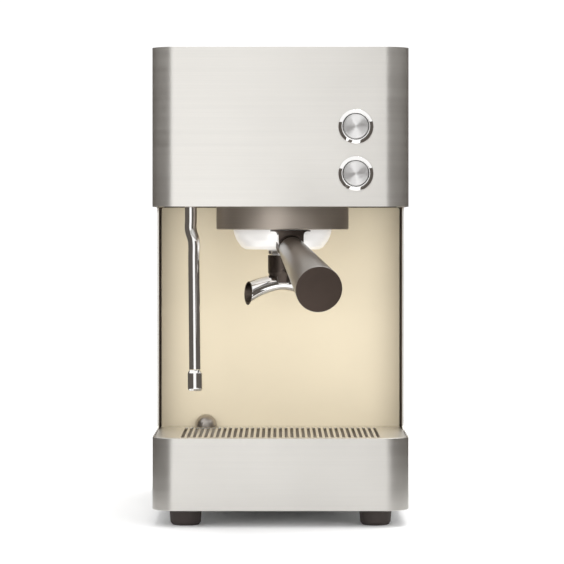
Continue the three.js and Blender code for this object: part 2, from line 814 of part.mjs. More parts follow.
function buildTank() {
  part("water_tank", waterTank(), clearPlastic);
  part("tank_lid", tankLid(), brushedSteel);
  const { y, z } = LID_HINGE;
  part("lid_hinge_pin", rod(PIN_RADIUS, [-26, y, z], [26, y, z], 8), plainSteel);
  const shelfTop = TANK_BOTTOM - GAP;
  const valve = turned(
    [
      [0, 98],
      [8, 98],
      [8, shelfTop],
      [5, shelfTop],
      [5, TANK_BOTTOM + 6],
      [0, TANK_BOTTOM + 6],
    ],
    SMALL_ROUND,
  );
  part("tank_valve", valve.translate(0, VALVE_Y, 0), blackPlastic);
  const half = WIDTH / 2 - SHEET - GAP;
  const shelf = block([-half, half], [200, DEPTH - SHEET - GAP], [shelfTop - 2, shelfTop]);
  const seatHole = rod(13.5, [0, VALVE_Y, shelfTop - 5], [0, VALVE_Y, shelfTop + 5]);
  part("tank_shelf", cut(shelf, seatHole), plainSteel);
  const seat = turned(
    [
      [0, 92],
      [13, 92],
      [13, shelfTop],
      [9, shelfTop],
      [9, 97],
      [0, 97],
    ],
    SMALL_ROUND,
  );
  const seatOutlet = rod(2.5, [0, VALVE_Y, 90], [0, VALVE_Y, 98], 8);
  part("tank_seat", cut(seat.translate(0, VALVE_Y, 0), seatOutlet), blackPlastic);
}

// ---- boiler, valves, pump and electrics ----
const BOILER_TOP = 330;

function boilerShell() {
  const bottom = HEAD_TOP + GAP;
  const top = BOILER_TOP;
  const shell = turned([
    [0, bottom],
    [38, bottom],
    [38, top - 8],
    [30, top],
    [0, top],
  ]);
  const hollow = turned([
    [0, bottom + 3],
    [35.5, bottom + 3],
    [35.5, top - 9],
    [29, top - 2.5],
    [0, top - 2.5],
  ]);
  const waterHole = rod(3, [0, 0, bottom - 1], [0, 0, bottom + 5], 12);
  const legHoles = ELEMENT_LEGS.map((x) => rod(3.5, [x, 0, 300], [x, 0, 340], 8));
  return aboutGroup(cut(shell, hollow, waterHole, ...legHoles));
}

const ELEMENT_LEGS = [-22, 22];
const ELEMENT_RADIUS = 3;

// A ring that lies in the water, with two upright legs that leave through the lid.
function heatingElement() {
  const loop = new THREE.TorusGeometry(22, ELEMENT_RADIUS, 6, 16).translate(0, 0, 280);
  const legs = ELEMENT_LEGS.map((x) => rod(ELEMENT_RADIUS, [x, 0, 280], [x, 0, 340], 8));
  return aboutGroup(join(loop, ...legs));
}

function valveBlock(x, y, [z0, z1]) {
  const coil = block([x - 13, x + 13], [y - 13, y + 13], [z0, z1]);
  const core = rod(5, [x, y, z1 - 2], [x, y, z1 + 8]);
  return join(coil, core);
}

function buildWaterCircuit() {
  part("boiler", boilerShell(), brass);
  part("heating_element", heatingElement(), copper);
  const sensor = rod(8, [0, 0, BOILER_TOP + GAP], [0, 0, BOILER_TOP + 6]);
  part("boiler_thermostat", aboutGroup(sensor), blackPlastic);

  const steamValve = join(
    valveBlock(WAND_X, WAND_Y, [266, 300]),
    rod(4, [WAND_X, WAND_Y, 256.9], [WAND_X, WAND_Y, 268]),
  );
  part("steam_valve", steamValve, plainSteel);
  const steamRoute = [
    [GROUP_X - 12, GROUP_Y + 10, BOILER_TOP + 2 * GAP],
    [GROUP_X - 12, GROUP_Y + 10, BOILER_TOP + 4],
    [GROUP_X - 18, GROUP_Y + 12, 339],
    [-40, 64, 341],
    [-58, 72, 330],
    [-64, 76, 305],
    [-65, 73, 285],
    [-65, 68, 283],
    [-65, 63.4, 283],
  ];
  part("steam_pipe", tube(steamRoute, 2.5, 20), copper);

  part("brew_valve", valveBlock(-45, 115, [242, 276]), plainSteel);
  const drainRoute = [
    [-58.5, 115, 262],
    [-63, 115, 262],
    [-68, 119, 259],
    [-68.4, 126, 252],
    [HOSE_X, HOSE_Y, 242],
    [HOSE_X, HOSE_Y, 215],
    [-62, HOSE_Y, 170],
    [OUTLET_X, HOSE_Y, 120],
    [OUTLET_X, HOSE_Y, 78],
    [OUTLET_X, HOSE_Y + 0.2, OUTLET_NECK_Z],
  ];
  part("drain_hose", tube(drainRoute, 3.4, 24), whiteSilicone);

  const [coilBottom, coilTop] = [34, 82];
  const pumpCoil = block([-24, 24], [PUMP_Y - 22, PUMP_Y + 22], [coilBottom, coilTop]);
  const pumpInlet = rod(11, [-60, PUMP_Y, PUMP_Z], [-23, PUMP_Y, PUMP_Z]);
  const pumpOutlet = rod(9, [23, PUMP_Y, PUMP_Z], [56, PUMP_Y, PUMP_Z]);
  part("pump", join(pumpCoil, pumpInlet, pumpOutlet), brass);
  const bracketDepth = [PUMP_Y - 26, PUMP_Y + 26];
  const [bracketBottom, bracketTop] = [14.3, coilBottom - GAP];
  const bracket = cut(
    block([-30, 30], bracketDepth, [bracketBottom, bracketTop]),
    block([-28, 28], [PUMP_Y - 30, PUMP_Y + 30], [bracketBottom + 1.7, bracketTop - 1.7]),
  );
  part("pump_bracket", bracket, plainSteel);
  const suctionRoute = [
    [0, VALVE_Y, 91.7],
    [0, VALVE_Y, 84],
    [-20, VALVE_Y - 5, 72],
    [-60, 215, 62],
    [-74, 185, PUMP_Z],
    [-72, PUMP_Y + 3, PUMP_Z],
    [-64, PUMP_Y, PUMP_Z],
    [-60.6, PUMP_Y, PUMP_Z],
  ];
  part("suction_hose", tube(suctionRoute, 3.6, 20), whiteSilicone);
  const deliveryRoute = [
    [56.6, PUMP_Y, PUMP_Z],
    [59, PUMP_Y, PUMP_Z],
    [65, PUMP_Y - 5, PUMP_Z + 3],
    [PIPE_X + 1, 145, 68],
    [PIPE_X, PIPE_Y, 84],
    [PIPE_X, PIPE_Y, 140],
    [PIPE_X, PIPE_Y, 200],
    [PIPE_X, PIPE_Y, 250],
    [58, 128, 290],
    [48, 105, 303],
    [30, 91, 304],
    [26.5, 88.5, 304],
  ];
  part("delivery_pipe", tube(deliveryRoute, 2.6, 26), copper);
}

function powerInlet() {
  const { x, z, halfWidth, halfHeight } = INLET;
  const box = (inset, depths) => {
    const [half, rise] = [halfWidth - inset, halfHeight - inset];
    return block([x - half, x + half], depths, [z - rise, z + rise]);
  };
  const flange = box(-2, [DEPTH + GAP, DEPTH + 2.6]);
  const shell = box(0, [DEPTH - 22, DEPTH + 1]);
  const socket = box(1.5, [DEPTH - 16, DEPTH + 5]);
  const pinPlaces = [
    [-7, 0],
    [0, 4.4],
    [7, 0],
  ];
  const pins = pinPlaces.map(([right, up]) => {
    const pin = block([-1, 1], [DEPTH - 19, DEPTH - 2], [-2, 2]);
    return pin.translate(x + right, 0, z + up);
  });
  return join(cut(join(flange, shell), socket), ...pins);
}

function controlBoard() {
  const board = block([86, 87.6], [130, 196], [245, 325]);
  const relays = [255, 280].map((z) => block([72, 86.5], [140, 160], [z, z + 18]));
  const capacitor = rod(6, [70, 178, 300], [86.5, 178, 300], SMALL_ROUND);
  return join(board, ...relays, capacitor);
}

// ---- assembly ----
buildHousing();
buildFeet();
buildGroup();
buildPortafilter();
for (const [name, z] of Object.entries(BUTTON_Z)) buildButton(name, z);
buildWand();
buildTray();
buildTank();
buildWaterCircuit();
part("power_inlet", powerInlet(), blackPlastic);
part("control_board", controlBoard(), greenBoard);

const bounds = new THREE.Box3().setFromObject(machine, true);
machine.position.y = -(bounds.min.y + bounds.max.y) / 2;

export default machine;
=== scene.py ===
"""Looks of a compact espresso machine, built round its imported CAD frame. Lengths are in metres."""

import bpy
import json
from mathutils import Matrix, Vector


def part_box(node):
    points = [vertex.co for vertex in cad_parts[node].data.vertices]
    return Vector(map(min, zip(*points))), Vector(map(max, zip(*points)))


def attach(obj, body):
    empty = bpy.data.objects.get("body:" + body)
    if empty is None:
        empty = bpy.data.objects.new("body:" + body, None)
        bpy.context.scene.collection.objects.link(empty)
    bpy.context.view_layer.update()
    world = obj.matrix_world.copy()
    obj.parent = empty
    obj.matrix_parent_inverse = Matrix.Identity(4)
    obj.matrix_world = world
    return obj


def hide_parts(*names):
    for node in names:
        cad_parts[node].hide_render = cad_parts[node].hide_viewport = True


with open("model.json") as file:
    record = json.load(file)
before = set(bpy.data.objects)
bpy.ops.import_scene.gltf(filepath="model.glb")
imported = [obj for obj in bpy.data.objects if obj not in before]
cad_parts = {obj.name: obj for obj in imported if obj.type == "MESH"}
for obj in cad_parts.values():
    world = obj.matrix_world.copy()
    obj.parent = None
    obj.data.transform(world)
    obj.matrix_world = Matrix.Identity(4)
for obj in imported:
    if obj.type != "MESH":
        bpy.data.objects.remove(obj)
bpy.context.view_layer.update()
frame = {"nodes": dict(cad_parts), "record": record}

import json
import math

import bmesh
import bpy
from mathutils import Matrix, Vector

MM = 0.001
UP = Vector((0, 0, 1))
BACKWARDS = Vector((0, 1, 0))

# ---- driving sizes ----
SHEET = 1.2 * MM
EDGE = 0.25 * MM  # how far the edge of a cut sheet is rounded
CORNER = 18 * MM  # plan radius of the housing's front corners
LOWER_BEND = 8 * MM  # inner corners of the C-shaped sides
UPPER_BEND = 5.5 * MM
SLOT_COUNT, SLOT_PITCH, SLOT_WIDTH = 35, 4.27 * MM, 2.3 * MM
HANDLE_DROOP, HANDLE_YAW = math.radians(12.5), math.radians(8.8)
HANDLE_START, HANDLE_START_Z, HANDLE_LENGTH = 45 * MM, 204.3 * MM, 123.6 * MM
# Radii that several profiles share. Profiles are drawn in millimetres, so these are too.
BOWL_RADIUS, BOWL_FLOOR_RADIUS, STEM_RADIUS, STUD_HOLE = 37.3, 31.2, 11, 4.6


def centre_of(node):
    low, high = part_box(node)
    return (low + high) / 2


WRAP_LOW, WRAP_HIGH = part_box("housing_wrap")
SIDE = WRAP_HIGH.x
FRONT, BACK = WRAP_LOW.y, WRAP_HIGH.y
BASE_BOTTOM, TOP = WRAP_LOW.z, WRAP_HIGH.z
BASE_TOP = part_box("drip_grille")[1].z
BAY_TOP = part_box("splash_panel")[1].z
TRAY_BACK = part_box("tray_front")[1].y
SIDE_CUT = FRONT + 94 * MM
GROUP = centre_of("group_cover")
WAND_BALL = centre_of("wand_ball")
TABLE_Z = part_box("foot_front_left")[0].z


# ---- mesh tools ----
def add_piece(name, verts, faces):
    mesh = bpy.data.meshes.new(name)
    mesh.from_pydata([tuple(v) for v in verts], [], faces)
    piece = bpy.data.objects.new(name, mesh)
    bpy.context.scene.collection.objects.link(piece)
    return piece


TURNED, FLAT = 32, 14  # edges sharper than this many degrees aren't shaded smooth


def finish_mesh(piece, sharp=TURNED):
    """Welds doubles, turns the faces outwards and shades smoothly up to an angle in degrees."""
    work = bmesh.new()
    work.from_mesh(piece.data)
    bmesh.ops.remove_doubles(work, verts=work.verts, dist=1e-6)
    bmesh.ops.dissolve_degenerate(work, edges=work.edges, dist=1e-7)
    bmesh.ops.recalc_face_normals(work, faces=work.faces)
    work.to_mesh(piece.data)
    work.free()
    for face in piece.data.polygons:
        face.use_smooth = True
    piece.data.set_sharp_from_angle(angle=math.radians(sharp))
    return piece


def apply_modifiers(piece):
    graph = bpy.context.evaluated_depsgraph_get()
    made = bpy.data.meshes.new_from_object(piece.evaluated_get(graph))
    piece.modifiers.clear()
    piece.data = made
    return piece


def remove(piece):
    bpy.data.objects.remove(piece, do_unlink=True)


def combine(piece, *others, operation):
    """Joins or cuts a closed mesh with others, which are then gone."""
    for other in others:
        modifier = piece.modifiers.new("combine", "BOOLEAN")
        modifier.operation = operation
        modifier.solver = "EXACT"
        modifier.object = other
        apply_modifiers(piece)
        remove(other)
    return finish_mesh(piece)


def add_bevel(piece, width, angle):
    """Rounds the edges that are sharper than an angle in degrees."""
    modifier = piece.modifiers.new("edges", "BEVEL")
    modifier.width = width
    modifier.segments = 2
    modifier.limit_method = "ANGLE"
    modifier.angle_limit = math.radians(angle)


def round_edges(piece, width, angle=40, sharp=FLAT):
    add_bevel(piece, width, angle)
    apply_modifiers(piece)
    return finish_mesh(piece, sharp)


def thicken(piece):
    """Gives a bare surface the thickness of the sheet, towards its inside."""
    modifier = piece.modifiers.new("thickness", "SOLIDIFY")
    modifier.thickness = SHEET
    modifier.offset = -1
    modifier.use_even_offset = True
    apply_modifiers(piece)
    return finish_mesh(piece)


def moved(piece, matrix):
    piece.data.transform(matrix)
    if matrix.determinant() < 0:
        piece.data.flip_normals()
    return piece


def aimed(piece, origin, direction):
    """Turns a piece drawn along +Z to point along the direction, and puts its foot at the origin."""
    turn = UP.rotation_difference(direction).to_matrix().to_4x4()
    return moved(piece, Matrix.Translation(origin) @ turn)


def filleted(points, closed=False, steps=5):
    """An outline in the plane. A point's third number is the radius that rounds its corner."""
    made = []
    for i, point in enumerate(points):
        corner = Vector(point[:2])
        radius = point[2] if len(point) > 2 else 0
        if not radius or not (closed or 0 < i < len(points) - 1):
            made.append(corner)
            continue
        before = Vector(points[i - 1][:2]) - corner
        after = Vector(points[(i + 1) % len(points)][:2]) - corner
        half = before.angle(after) / 2
        reach = min(radius / math.tan(half), 0.49 * before.length, 0.49 * after.length)
        radius = reach * math.tan(half)
        middle = (before.normalized() + after.normalized()).normalized()
        centre = corner + middle * (radius / math.sin(half))
        start = corner + before.normalized() * reach - centre
        end = corner + after.normalized() * reach - centre
        first = math.atan2(start.y, start.x)
        turn = (math.atan2(end.y, end.x) - first + math.pi) % (2 * math.pi) - math.pi
        for k in range(steps + 1):
            angle = first + turn * k / steps
            made.append(centre + radius * Vector((math.cos(angle), math.sin(angle))))
    return made


def in_mm(points):
    return [tuple(value * MM for value in point) for point in points]


def lathe(name, profile, steps=96):
    """A turned piece about +Z from (radius, height, corner radius) points in millimetres. The
    profile begins and ends on the axis, or else closes on itself."""
    closed = profile[0][0] > 0
    outline = filleted(in_mm(profile), closed)
    verts, rings = [], []
    for radius, height in outline:
        if radius < 1e-7:
            rings.append([len(verts)])
            verts.append((0, 0, height))
            continue
        rings.append(list(range(len(verts), len(verts) + steps)))
        for k in range(steps):
            angle = 2 * math.pi * k / steps
            verts.append((radius * math.cos(angle), radius * math.sin(angle), height))
    faces = []
    pairs = list(zip(rings, rings[1:])) + ([(rings[-1], rings[0])] if closed else [])
    for lower, upper in pairs:
        for k in range(steps):
            a, b = lower[k % len(lower)], lower[(k + 1) % len(lower)]
            d, c = upper[k % len(upper)], upper[(k + 1) % len(upper)]
            faces.append([v for i, v in enumerate((a, b, c, d)) if v not in (a, b, c, d)[:i]])
    return finish_mesh(add_piece(name, verts, [face for face in faces if len(face) > 2]))


def cylinder(name, radius, low, high, steps=48):
    """A round bar about +Z, with its sizes in millimetres."""
    return lathe(name, [(0, low), (radius, low), (radius, high), (0, high)], steps)


def smooth_path(points, per_span):
    """A Catmull-Rom curve through the points."""
    ends = [2 * points[0] - points[1], *points, 2 * points[-1] - points[-2]]
    made = []
    for p0, p1, p2, p3 in zip(ends, ends[1:], ends[2:], ends[3:]):
        for k in range(per_span):
            t = k / per_span
            made.append(
                0.5 * (2 * p1 + (p2 - p0) * t + (2 * p0 - 5 * p1 + 4 * p2 - p3) * t * t
                       + (3 * p1 - p0 - 3 * p2 + p3) * t ** 3))
    return made + [points[-1]]


def sweep(name, path, radius_at, sides):
    """A round bar along a path. radius_at gives its radius at each share of the way."""
    verts, faces = [], []
    across = None
    for i, point in enumerate(path):
        ahead = path[min(i + 1, len(path) - 1)] - path[max(i - 1, 0)]
        ahead.normalize()
        if across is None:
            across = ahead.orthogonal().normalized()
        across = (across - ahead * across.dot(ahead)).normalized()
        other = ahead.cross(across)
        radius = radius_at(i / (len(path) - 1))
        for k in range(sides):
            angle = 2 * math.pi * k / sides
            verts.append(point + radius * (math.cos(angle) * across + math.sin(angle) * other))
    for i in range(len(path) - 1):
        for k in range(sides):
            a, b = i * sides + k, i * sides + (k + 1) % sides
            faces.append([a, b, b + sides, a + sides])
    faces.append(list(range(sides)))
    faces.append(list(range(len(verts) - sides, len(verts))))
    return finish_mesh(add_piece(name, verts, faces))


def block(name, low, high):
    verts = [(x, y, z) for x in (low[0], high[0]) for y in (low[1], high[1]) for z in (low[2], high[2])]
    faces = [[0, 1, 3, 2], [4, 6, 7, 5], [0, 4, 5, 1], [2, 3, 7, 6], [0, 2, 6, 4], [1, 5, 7, 3]]
    return finish_mesh(add_piece(name, verts, faces))


def plate(name, outlines, low, high, edge=EDGE):
    """A flat sheet between two heights. The first closed outline is its rim, the others are holes,
    and every edge is rounded."""
    curve = bpy.data.curves.new(name, "CURVE")
    curve.dimensions = "2D"
    curve.fill_mode = "BOTH"
    curve.extrude = (high - low) / 2 - edge
    curve.bevel_depth = edge
    curve.bevel_resolution = 1
    curve.offset = -edge
    for outline in outlines:
        spline = curve.splines.new("POLY")
        spline.points.add(len(outline) - 1)
        for point, (x, y) in zip(spline.points, outline):
            point.co = (x, y, 0, 1)
        spline.use_cyclic_u = True
    drawn = bpy.data.objects.new(name + "_outline", curve)
    bpy.context.scene.collection.objects.link(drawn)
    graph = bpy.context.evaluated_depsgraph_get()
    mesh = bpy.data.meshes.new_from_object(drawn.evaluated_get(graph))
    remove(drawn)
    mesh.transform(Matrix.Translation((0, 0, (low + high) / 2)))
    piece = bpy.data.objects.new(name, mesh)
    mesh.materials.clear()
    bpy.context.scene.collection.objects.link(piece)
    return finish_mesh(piece, FLAT)


def upright(piece, y):
    """Stands a plate that was drawn flat in (x, z): its lower face turns to the front, at y."""
    mirror = Matrix.Diagonal((1, 1, -1, 1))
    return moved(piece, Matrix.Translation((0, y, 0)) @ Matrix.Rotation(math.pi / 2, 4, "X") @ mirror)


def rectangle(x, y, corner=0.0):
    """An outline from two spans, with round corners."""
    points = [(x[0], y[0], corner), (x[1], y[0], corner), (x[1], y[1], corner), (x[0], y[1], corner)]
    return filleted(points, closed=True)


def circle(centre, radius, steps=32):
    turns = [2 * math.pi * k / steps for k in range(steps)]
    return [Vector((centre[0] + radius * math.cos(a), centre[1] + radius * math.sin(a))) for a in turns]


def front_path(inset, steps=18):
    """The housing's plan from one round front corner to the other, inside its outer faces."""
    radius = CORNER - inset
    points = []
    for side, first in ((-1, math.pi), (1, 1.5 * math.pi)):
        centre = Vector((side * (SIDE - CORNER), FRONT + CORNER))
        for k in range(steps + 1):
            angle = first + math.pi / 2 * k / steps
            points.append(centre + radius * Vector((math.cos(angle), math.sin(angle))))
    return points


def plan(inset, back):
    """The closed outline of a plate that fills the housing's plan as far back as y = back."""
    return [Vector((-SIDE + inset, back)), *front_path(inset), Vector((SIDE - inset, back))]


def notched_plan(inset, back, left, right, front):
    """The same outline with a notch in its back edge, from left to right and as far as y = front."""
    notch = [(right, back), (right, front), (left, front), (left, back)]
    return plan(inset, back) + [Vector(corner) for corner in notch]


def slot_row(count, first, pitch, width, reach, corner):
    """Outlines of slots that lie across the middle, one after the other along the plate's y."""
    starts = [first + i * pitch for i in range(count)]
    return [rectangle((-reach, reach), (start, start + width), corner) for start in starts]


# ---- materials ----
def new_material(name, color, roughness, metallic=0.0, **sockets):
    """Further sockets of the shader are given by name, with underscores for spaces."""
    material = bpy.data.materials.new(name)
    material.use_nodes = True
    shader = material.node_tree.nodes["Principled BSDF"]
    shader.inputs["Base Color"].default_value = (*color, 1)
    shader.inputs["Roughness"].default_value = roughness
    shader.inputs["Metallic"].default_value = metallic
    for socket, value in sockets.items():
        shader.inputs[socket.replace("_", " ")].default_value = value
    return material, material.node_tree, shader


def node(tree, kind, inputs=None, **settings):
    made = tree.nodes.new(kind)
    for key, value in settings.items():
        setattr(made, key, value)
    for key, value in (inputs or {}).items():
        if isinstance(value, bpy.types.NodeSocket):
            tree.links.new(value, made.inputs[key])
        else:
            made.inputs[key].default_value = value
    return made


def object_place(tree, scale):
    """Object coordinates, stretched by a scale for each axis."""
    place = node(tree, "ShaderNodeTexCoord").outputs["Object"]
    return node(tree, "ShaderNodeMapping", {"Vector": place, "Scale": scale}).outputs["Vector"]


def noise(tree, place, scale, detail=3.0, roughness=0.55):
    inputs = {"Vector": place, "Scale": scale, "Detail": detail, "Roughness": roughness}
    return node(tree, "ShaderNodeTexNoise", inputs).outputs["Fac"]


def spread(tree, value, low, high, from_low=0.3, from_high=0.7):
    """Maps a texture's middle range to the given values."""
    inputs = {"Value": value, "From Min": from_low, "From Max": from_high, "To Min": low, "To Max": high}
    return node(tree, "ShaderNodeMapRange", inputs).outputs["Result"]


SUM_LOW, SUM_HIGH = 0.7, 1.3  # between these lies most of the sum of two noise textures


def added(tree, first, second):
    return node(tree, "ShaderNodeMath", {0: first, 1: second}, operation="ADD").outputs[0]


def tint(tree, value, dark, light):
    """A colour between two, by a value from 0 to 1."""
    mix = node(tree, "ShaderNodeMix", data_type="RGBA")
    tree.links.new(value, mix.inputs["Factor"])
    # The colour sockets of a Mix node come after its value and vector ones.
    mix.inputs[6].default_value = (*dark, 1)
    mix.inputs[7].default_value = (*light, 1)
    return mix.outputs[2]


def bump(tree, shader, height, strength, distance):
    made = node(tree, "ShaderNodeBump", {"Height": height, "Strength": strength, "Distance": distance})
    tree.links.new(made.outputs["Normal"], shader.inputs["Normal"])


def scaled(color, factor):
    return tuple(min(1.0, channel * factor) for channel in color)


def brushed(name, color, roughness, grain, variation, anisotropic=0.0):
    """Brushed sheet. The grain is (x, y, z) lines per metre: few along the strokes, many across."""
    material, tree, shader = new_material(name, color, roughness, 1.0, Anisotropic=anisotropic)
    fine = noise(tree, object_place(tree, grain), 1.0, 4.0, 0.7)
    coarser = tuple(0.16 * lines for lines in grain)
    streaks = noise(tree, object_place(tree, coarser), 1.0, 3.0, 0.6)
    smudges = noise(tree, object_place(tree, (1, 1, 1)), 14.0, 3.0)
    mixed = added(tree, fine, streaks)
    shade = spread(tree, mixed, 0.0, 1.0, SUM_LOW, SUM_HIGH)
    tree.links.new(
        tint(tree, shade, scaled(color, 1 - variation), scaled(color, 1 + variation)),
        shader.inputs["Base Color"])
    scratches = spread(tree, mixed, -0.05, 0.05, SUM_LOW, SUM_HIGH)
    haze = spread(tree, smudges, roughness - 0.03, roughness + 0.04)
    tree.links.new(added(tree, scratches, haze), shader.inputs["Roughness"])
    bump(tree, shader, fine, 0.12, 0.00004)
    return material, tree, shader


def upright_highlight(tree, shader, axis="Z"):
    """Spreads highlights across a grain that runs round the axis."""
    tangent = node(tree, "ShaderNodeTangent", direction_type="RADIAL", axis=axis)
    tree.links.new(tangent.outputs["Tangent"], shader.inputs["Tangent"])


def polished(name, color, roughness, variation=0.04):
    """Bright plate with faint polishing haze and fine wipe marks."""
    material, tree, shader = new_material(name, color, roughness, 1.0)
    haze = noise(tree, object_place(tree, (1, 1, 1)), 60.0, 4.0)
    marks = noise(tree, object_place(tree, (300, 900, 500)), 1.0, 3.0, 0.7)
    rough = spread(
        tree, added(tree, haze, marks), roughness * 0.6, roughness * 1.6, SUM_LOW, SUM_HIGH)
    tree.links.new(rough, shader.inputs["Roughness"])
    tree.links.new(
        tint(tree, spread(tree, haze, 0, 1), scaled(color, 1 - variation), color),
        shader.inputs["Base Color"])
    bump(tree, shader, haze, 0.05, 0.0001)
    return material


def moulded(name, color, roughness, grain=900.0, depth=0.00004, variation=0.18, **sockets):
    """Moulded plastic, rubber or paint: a fine skin texture, and slow changes of shade."""
    material, tree, shader = new_material(name, color, roughness, **sockets)
    skin = noise(tree, object_place(tree, (1, 1, 1)), grain, 3.0)
    slow = noise(tree, object_place(tree, (1, 1, 1)), 25.0, 3.0)
    tree.links.new(
        tint(tree, spread(tree, slow, 0, 1), scaled(color, 1 - variation), scaled(color, 1 + variation)),
        shader.inputs["Base Color"])
    tree.links.new(spread(tree, slow, roughness - 0.05, roughness + 0.05), shader.inputs["Roughness"])
    bump(tree, shader, skin, 0.3, depth)
    return material


def spun(name, color, roughness):
    """A turned metal face, whose rings are centred on the piece's own middle and face the front."""
    material, tree, shader = new_material(name, color, roughness, 1.0, Anisotropic=1.0)
    shader.inputs["Anisotropic Rotation"].default_value = 0.205
    upright_highlight(tree, shader, "Y")
    place = node(tree, "ShaderNodeTexCoord").outputs["Generated"]
    offset = node(tree, "ShaderNodeVectorMath", {0: place, 1: (0.5, 0.0, 0.5)}, operation="SUBTRACT")
    flat = node(tree, "ShaderNodeVectorMath", {0: offset.outputs[0], 1: (1, 0, 1)}, operation="MULTIPLY")
    radius = node(tree, "ShaderNodeVectorMath", {0: flat.outputs[0]}, operation="LENGTH").outputs["Value"]
    rings = node(tree, "ShaderNodeTexNoise",
                 {"W": radius, "Scale": 60.0, "Detail": 4.0}, noise_dimensions="1D").outputs["Fac"]
    tree.links.new(
        tint(tree, spread(tree, rings, 0, 1), scaled(color, 0.9), color), shader.inputs["Base Color"])
    bump(tree, shader, rings, 0.15, 0.0001)
    return material


STEEL = (0.748, 0.728, 0.69)


def upright_brushed(name, color, roughness, variation, anisotropic):
    """Sheet brushed along its length, so that highlights spread up and down."""
    material, tree, shader = brushed(name, color, roughness, (12, 12, 1500), variation, anisotropic)
    shader.inputs["Anisotropic Rotation"].default_value = 0.25
    upright_highlight(tree, shader)
    return material


brushed_front = upright_brushed("brushed_front", STEEL, 0.40, variation=0.03, anisotropic=0.6)
# The tray front's steel is a darker copy of the front's steel: painted shade on the lower front.
brushed_tray_painted_shade = upright_brushed(
    "brushed_tray_painted_shade", scaled(STEEL, 0.87), 0.40, variation=0.03, anisotropic=0.6)
# The tops' steel is brushed front to back and smoother, and its colour is lighter than the front's steel:
# a painted light reflection on the flat tops.
brushed_top_painted_light = brushed(
    "brushed_top_painted_light", scaled(STEEL, 1.09), 0.32, grain=(12, 1500, 12), variation=0.03)[0]
mill_steel = brushed(
    "mill_steel", (0.62, 0.62, 0.61), 0.42, grain=(200, 260, 220), variation=0.06)[0]
# A dark matte coat for the housing's inside faces and the divider: painted shade, which draws the dark
# gap beside the bay's back panel.
inner_painted_shade = moulded(
    "inner_painted_shade", (0.15, 0.125, 0.105), 0.9, grain=500.0, depth=0.0001, variation=0.2,
    Specular_IOR_Level=0.05)
pan_steel = moulded(
    "pan_steel", (0.85, 0.80, 0.74), 0.5, grain=300.0, depth=0.00003, variation=0.05, Metallic=0.55)
dull_chrome = polished("dull_chrome", (0.50, 0.46, 0.42), 0.35)
chrome = polished("chrome", (0.93, 0.92, 0.905), 0.05)
satin_chrome = moulded(
    "satin_chrome", (0.98, 0.965, 0.945), 0.32, grain=900.0, depth=0.000004, variation=0.02,
    Metallic=0.35)
# A dark copy of chrome for the portafilter's neck, the spout's stem and the insides of its arms: painted
# shade and a painted dark reflection.
chrome_painted_shade = polished("chrome_painted_shade", (0.10, 0.08, 0.068), 0.35)
# The group cover's steel is a darker, browner copy of the housing's steel: painted shade under the
# housing's overhang.
dark_steel = upright_brushed(
    "dark_steel", (0.60, 0.535, 0.47), 0.6, variation=0.06, anisotropic=0.3)
cream_paint = moulded(
    "cream_paint", (0.79, 0.695, 0.515), 0.6, grain=700.0, depth=0.00003, variation=0.015)
handle_plastic = moulded(
    "handle_plastic", (0.07, 0.052, 0.038), 0.34, grain=1400.0, depth=0.00003,
    Specular_IOR_Level=1.0, Coat_Weight=1.0, Coat_Roughness=0.28)
# The grip's end face: a duller matte finish, and a darker colour that is painted shade on the face that
# looks to the front.
handle_end_matte_painted_shade = moulded(
    "handle_end_matte_painted_shade", (0.036, 0.024, 0.018), 0.5, grain=1400.0, depth=0.00003, Specular_IOR_Level=0.2)
foot_rubber = moulded("foot_rubber", (0.04, 0.03, 0.027), 0.75, grain=800.0, depth=0.00008)
black_plastic = moulded("black_plastic", (0.03, 0.03, 0.03), 0.5)
tank_plastic = moulded(
    "tank_plastic", (0.46, 0.52, 0.54), 0.3, grain=400.0, depth=0.00002, variation=0.04)
brass = brushed("brass", (0.71, 0.55, 0.28), 0.35, grain=(300, 300, 900), variation=0.08)[0]
copper = polished("copper", (0.72, 0.40, 0.26), 0.25, variation=0.2)
silicone = moulded("silicone", (0.78, 0.77, 0.74), 0.5, grain=300.0, depth=0.00002, variation=0.03)
board_lacquer = moulded(
    "board_lacquer", (0.05, 0.22, 0.12), 0.35, grain=300.0, depth=0.00005, variation=0.25)
spun_steel = spun("spun_steel", (0.98, 0.97, 0.96), 0.44)


# ---- giving a piece its place ----
BODIES = frame["record"]["behaviour"]["bodies"]
BODY_OF = {name: body for body, names in BODIES.items() for name in names}


def stand_for(piece, cad_node, material, replaces=True, second=None):
    """The piece takes the CAD node's place and body, and gets the material. Faces marked 1 get the second
    material.
    """
    piece.data.materials.append(material)
    if second:
        piece.data.materials.append(second)
    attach(piece, BODY_OF[cad_node])
    if replaces:
        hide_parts(cad_node)
    return piece


def carry(cad_node, material, edge=0.0):
    """Keeps the CAD node's own mesh, with a better material and softened edges."""
    part = frame["nodes"][cad_node]
    part.data.materials.clear()
    part.data.materials.append(material)
    if edge:
        add_bevel(part, edge, 50)


# ---- housing ----
def side_stops():
    """How far back the columns of the side sheets stand, from the back to the round corner."""
    tray_gap, bend_steps = 0.3 * MM, 12
    stops = {BACK, SIDE_CUT, TRAY_BACK + tray_gap, FRONT + CORNER}
    for bend in (LOWER_BEND, UPPER_BEND):
        for k in range(bend_steps + 1):
            stops.add(round(SIDE_CUT - bend * (1 - math.sin(math.pi / 2 * k / bend_steps)), 6))
    return sorted(stops, reverse=True)


def bay_edge(y, bend, level, direction):
    """Height of the bay's edge at y: level, then bending towards the back of the bay."""
    into = y - (SIDE_CUT - bend)
    if into <= 0:
        return level
    return level + direction * (bend - math.sqrt(max(0.0, bend * bend - into * into)))


